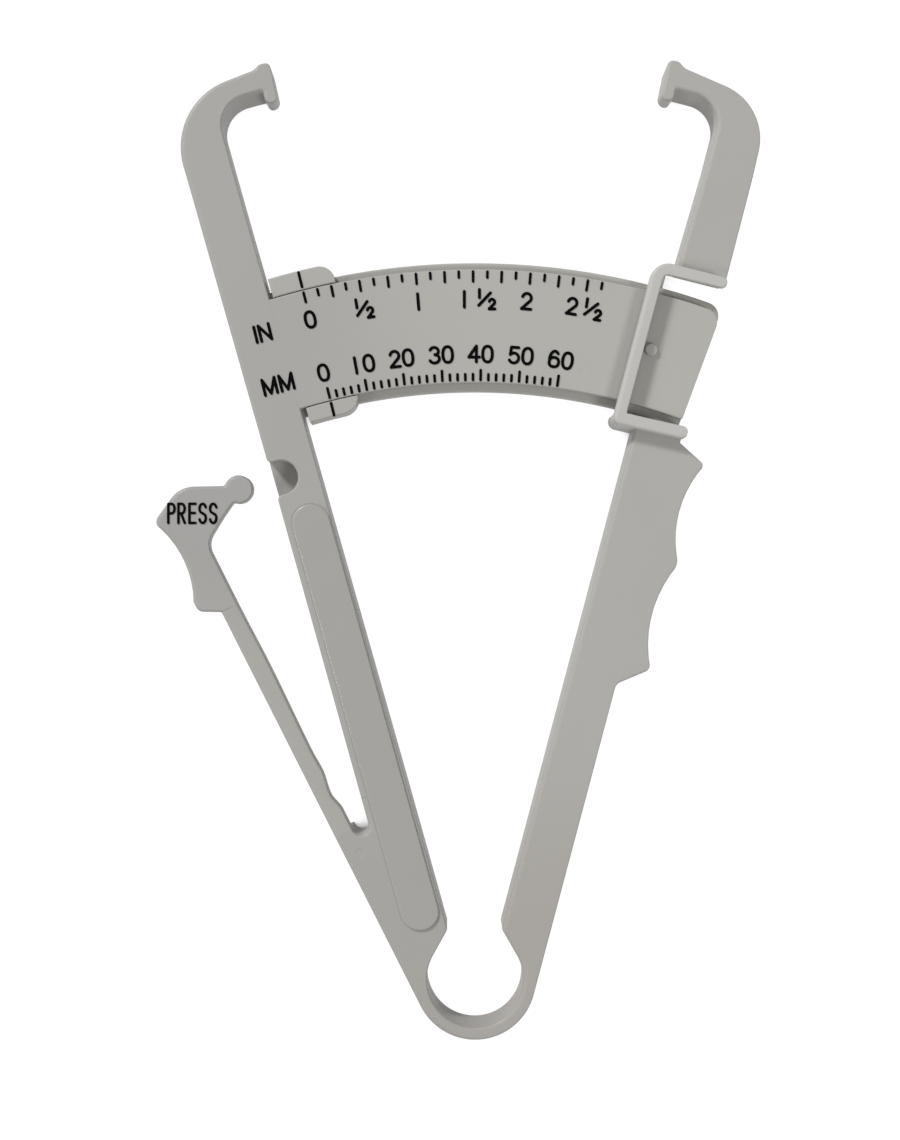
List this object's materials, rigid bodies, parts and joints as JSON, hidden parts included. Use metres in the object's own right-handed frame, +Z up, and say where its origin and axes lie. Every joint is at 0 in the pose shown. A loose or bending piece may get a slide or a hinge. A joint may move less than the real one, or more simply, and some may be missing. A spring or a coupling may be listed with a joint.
{
  "type": "skinfold caliper",
  "caption": "Flat plastic skinfold caliper: hooked jaws on two sprung arms, a curved scale rail with a sliding marker, and a side thumb lever with a click ball.",
  "frame": {"origin": "centre of the bounding box on the flat underside that the caliper lies on, jaws open", "axes": "+Y from the spring to the jaws, +Z up out of the printed face, +X towards the moving arm"},
  "size_m": [0.1062, 0.172, 0.0105],
  "materials": {
    "body_plastic": "warm grey moulded plastic with a soft gloss",
    "scale_plastic": "the same grey plastic, a little lighter where it faces the light",
    "slider_plastic": "warm grey moulded plastic, smooth",
    "ink": "black print on the raised graduations and figures"
  },
  "bodies": {
    "fixed_side": {"fixed_root": "body_plastic", "fixed_arm": "body_plastic", "fixed_jaw": "body_plastic", "fixed_pad": "body_plastic", "scale_rail": "scale_plastic", "stop_peg": "scale_plastic", "label_panel": "body_plastic", "spring_bow": "body_plastic", "lever_flexure": "body_plastic"},
    "moving_side": {"moving_root": "body_plastic", "grip_arm": "body_plastic", "lower_bar": "body_plastic", "front_bridge": "body_plastic", "rear_bridge": "body_plastic", "upper_bar": "body_plastic", "upper_arm": "body_plastic", "moving_jaw": "body_plastic", "moving_pad": "body_plastic"},
    "marker": {"slider": "slider_plastic"},
    "thumb_lever": {"lever_beam": "body_plastic", "thumb_pad": "body_plastic", "click_ball": "body_plastic"}
  },
  "joints": [
    {"name": "arm_hinge", "type": "hinge", "parent": "fixed_side", "child": "moving_side", "pos_m": [0.00297, -0.07538, 0.004], "axis": [0, 0, -1], "range_deg": [-24.5, 0], "stiffness_Nm_per_rad": 0.64, "deforming": ["spring_bow"]},
    {"name": "marker_slide", "type": "hinge", "parent": "fixed_side", "child": "marker", "pos_m": [0.00297, -0.07538, 0.0055], "axis": [0, 0, -1], "range_deg": [0, 24.4]},
    {"name": "lever_flex", "type": "hinge", "parent": "fixed_side", "child": "thumb_lever", "pos_m": [-0.0205, -0.04915, 0.0065], "axis": [0, 0, -1], "range_deg": [0, 7.1], "stiffness_Nm_per_rad": 1.1, "deforming": ["lever_flexure"]}
  ]
}
